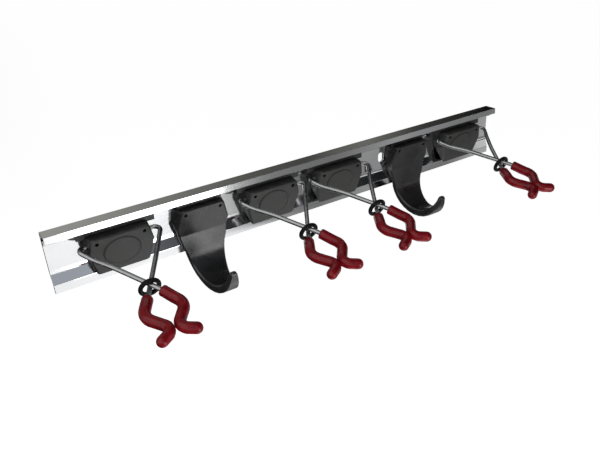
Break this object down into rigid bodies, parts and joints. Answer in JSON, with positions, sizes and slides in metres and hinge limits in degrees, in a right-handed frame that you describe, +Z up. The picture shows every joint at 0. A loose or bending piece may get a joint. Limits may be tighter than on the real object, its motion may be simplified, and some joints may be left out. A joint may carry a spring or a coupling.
{
  "type": "wall tool holder",
  "caption": "Aluminium wall rail with sliding wire tool clips, whose red dipped jaws close round a handle, and sliding black moulded hooks.",
  "frame": {"origin": "middle of the rail's back face, which lies on the wall", "axes": "+X along the rail to the right as seen from the front, +Y into the wall, +Z up"},
  "size_m": [0.5, 0.1305, 0.0841],
  "materials": {
    "aluminium": "bright extruded",
    "plastic": "satin moulded black",
    "wire": "zinc plated",
    "grip": "glossy red dip coat",
    "rubber": "black"
  },
  "bodies": {
    "rail": {"rail": "aluminium"},
    "clip_1_carriage": {"clip_1_base": "plastic"},
    "clip_1_left_arm": {"clip_1_left_wire": "wire", "clip_1_left_grip": "grip"},
    "clip_1_right_arm": {"clip_1_right_wire": "wire", "clip_1_right_grip": "grip"},
    "clip_1_ring": {"clip_1_ring": "rubber"},
    "clip_2_carriage": {"clip_2_base": "plastic"},
    "clip_2_left_arm": {"clip_2_left_wire": "wire", "clip_2_left_grip": "grip"},
    "clip_2_right_arm": {"clip_2_right_wire": "wire", "clip_2_right_grip": "grip"},
    "clip_2_ring": {"clip_2_ring": "rubber"},
    "clip_3_carriage": {"clip_3_base": "plastic"},
    "clip_3_left_arm": {"clip_3_left_wire": "wire", "clip_3_left_grip": "grip"},
    "clip_3_right_arm": {"clip_3_right_wire": "wire", "clip_3_right_grip": "grip"},
    "clip_3_ring": {"clip_3_ring": "rubber"},
    "clip_4_carriage": {"clip_4_base": "plastic"},
    "clip_4_left_arm": {"clip_4_left_wire": "wire", "clip_4_left_grip": "grip"},
    "clip_4_right_arm": {"clip_4_right_wire": "wire", "clip_4_right_grip": "grip"},
    "clip_4_ring": {"clip_4_ring": "rubber"},
    "hook_1_carriage": {"hook_1": "plastic"},
    "hook_2_carriage": {"hook_2": "plastic"}
  },
  "joints": [
    {"name": "clip_1_slide", "type": "slide", "parent": "rail", "child": "clip_1_carriage", "axis": [1, 0, 0], "range_m": [-0.023, 0.0065]},
    {"name": "clip_1_left_swing", "type": "hinge", "parent": "clip_1_carriage", "child": "clip_1_left_arm", "pos_m": [-0.219, -0.0127, 0.0085], "axis": [-0.9781, 0, 0.2079], "range_deg": [0, 30]},
    {"name": "clip_1_right_swing", "type": "hinge", "parent": "clip_1_carriage", "child": "clip_1_right_arm", "pos_m": [-0.167, -0.0127, 0.0085], "axis": [-0.9781, 0, -0.2079], "range_deg": [0, 30]},
    {"name": "clip_1_ring_ride", "type": "hinge", "parent": "clip_1_carriage", "child": "clip_1_ring", "pos_m": [-0.193, -0.0078, -0.0156], "axis": [-1, 0, 0], "range_deg": [0, 29]},
    {"name": "clip_2_slide", "type": "slide", "parent": "rail", "child": "clip_2_carriage", "axis": [1, 0, 0], "range_m": [-0.0037, 0.0022]},
    {"name": "clip_2_left_swing", "type": "hinge", "parent": "clip_2_carriage", "child": "clip_2_left_arm", "pos_m": [-0.074, -0.0127, 0.0085], "axis": [-0.9781, 0, 0.2079], "range_deg": [0, 30]},
    {"name": "clip_2_right_swing", "type": "hinge", "parent": "clip_2_carriage", "child": "clip_2_right_arm", "pos_m": [-0.022, -0.0127, 0.0085], "axis": [-0.9781, 0, -0.2079], "range_deg": [0, 30]},
    {"name": "clip_2_ring_ride", "type": "hinge", "parent": "clip_2_carriage", "child": "clip_2_ring", "pos_m": [-0.048, -0.0078, -0.0156], "axis": [-1, 0, 0], "range_deg": [0, 29]},
    {"name": "clip_3_slide", "type": "slide", "parent": "rail", "child": "clip_3_carriage", "axis": [1, 0, 0], "range_m": [-0.0022, 0.016]},
    {"name": "clip_3_left_swing", "type": "hinge", "parent": "clip_3_carriage", "child": "clip_3_left_arm", "pos_m": [0.002, -0.0127, 0.0085], "axis": [-0.9781, 0, 0.2079], "range_deg": [0, 30]},
    {"name": "clip_3_right_swing", "type": "hinge", "parent": "clip_3_carriage", "child": "clip_3_right_arm", "pos_m": [0.054, -0.0127, 0.0085], "axis": [-0.9781, 0, -0.2079], "range_deg": [0, 30]},
    {"name": "clip_3_ring_ride", "type": "hinge", "parent": "clip_3_carriage", "child": "clip_3_ring", "pos_m": [0.028, -0.0078, -0.0156], "axis": [-1, 0, 0], "range_deg": [0, 29]},
    {"name": "clip_4_slide", "type": "slide", "parent": "rail", "child": "clip_4_carriage", "axis": [1, 0, 0], "range_m": [-0.0048, 0.022]},
    {"name": "clip_4_left_swing", "type": "hinge", "parent": "clip_4_carriage", "child": "clip_4_left_arm", "pos_m": [0.1685, -0.0127, 0.0085], "axis": [-0.9781, 0, 0.2079], "range_deg": [0, 30]},
    {"name": "clip_4_right_swing", "type": "hinge", "parent": "clip_4_carriage", "child": "clip_4_right_arm", "pos_m": [0.2205, -0.0127, 0.0085], "axis": [-0.9781, 0, -0.2079], "range_deg": [0, 30]},
    {"name": "clip_4_ring_ride", "type": "hinge", "parent": "clip_4_carriage", "child": "clip_4_ring", "pos_m": [0.1945, -0.0078, -0.0156], "axis": [-1, 0, 0], "range_deg": [0, 29]},
    {"name": "hook_1_slide", "type": "slide", "parent": "rail", "child": "hook_1_carriage", "axis": [1, 0, 0], "range_m": [-0.0065, 0.0037]},
    {"name": "hook_2_slide", "type": "slide", "parent": "rail", "child": "hook_2_carriage", "axis": [1, 0, 0], "range_m": [-0.016, 0.0048]}
  ],
  "couplings": [
    {"joint": "clip_1_right_swing", "follows": "clip_1_left_swing", "ratio": 1},
    {"joint": "clip_1_ring_ride", "follows": "clip_1_left_swing", "ratio": 0.9637},
    {"joint": "clip_2_right_swing", "follows": "clip_2_left_swing", "ratio": 1},
    {"joint": "clip_2_ring_ride", "follows": "clip_2_left_swing", "ratio": 0.9637},
    {"joint": "clip_3_right_swing", "follows": "clip_3_left_swing", "ratio": 1},
    {"joint": "clip_3_ring_ride", "follows": "clip_3_left_swing", "ratio": 0.9637},
    {"joint": "clip_4_right_swing", "follows": "clip_4_left_swing", "ratio": 1},
    {"joint": "clip_4_ring_ride", "follows": "clip_4_left_swing", "ratio": 0.9637}
  ]
}
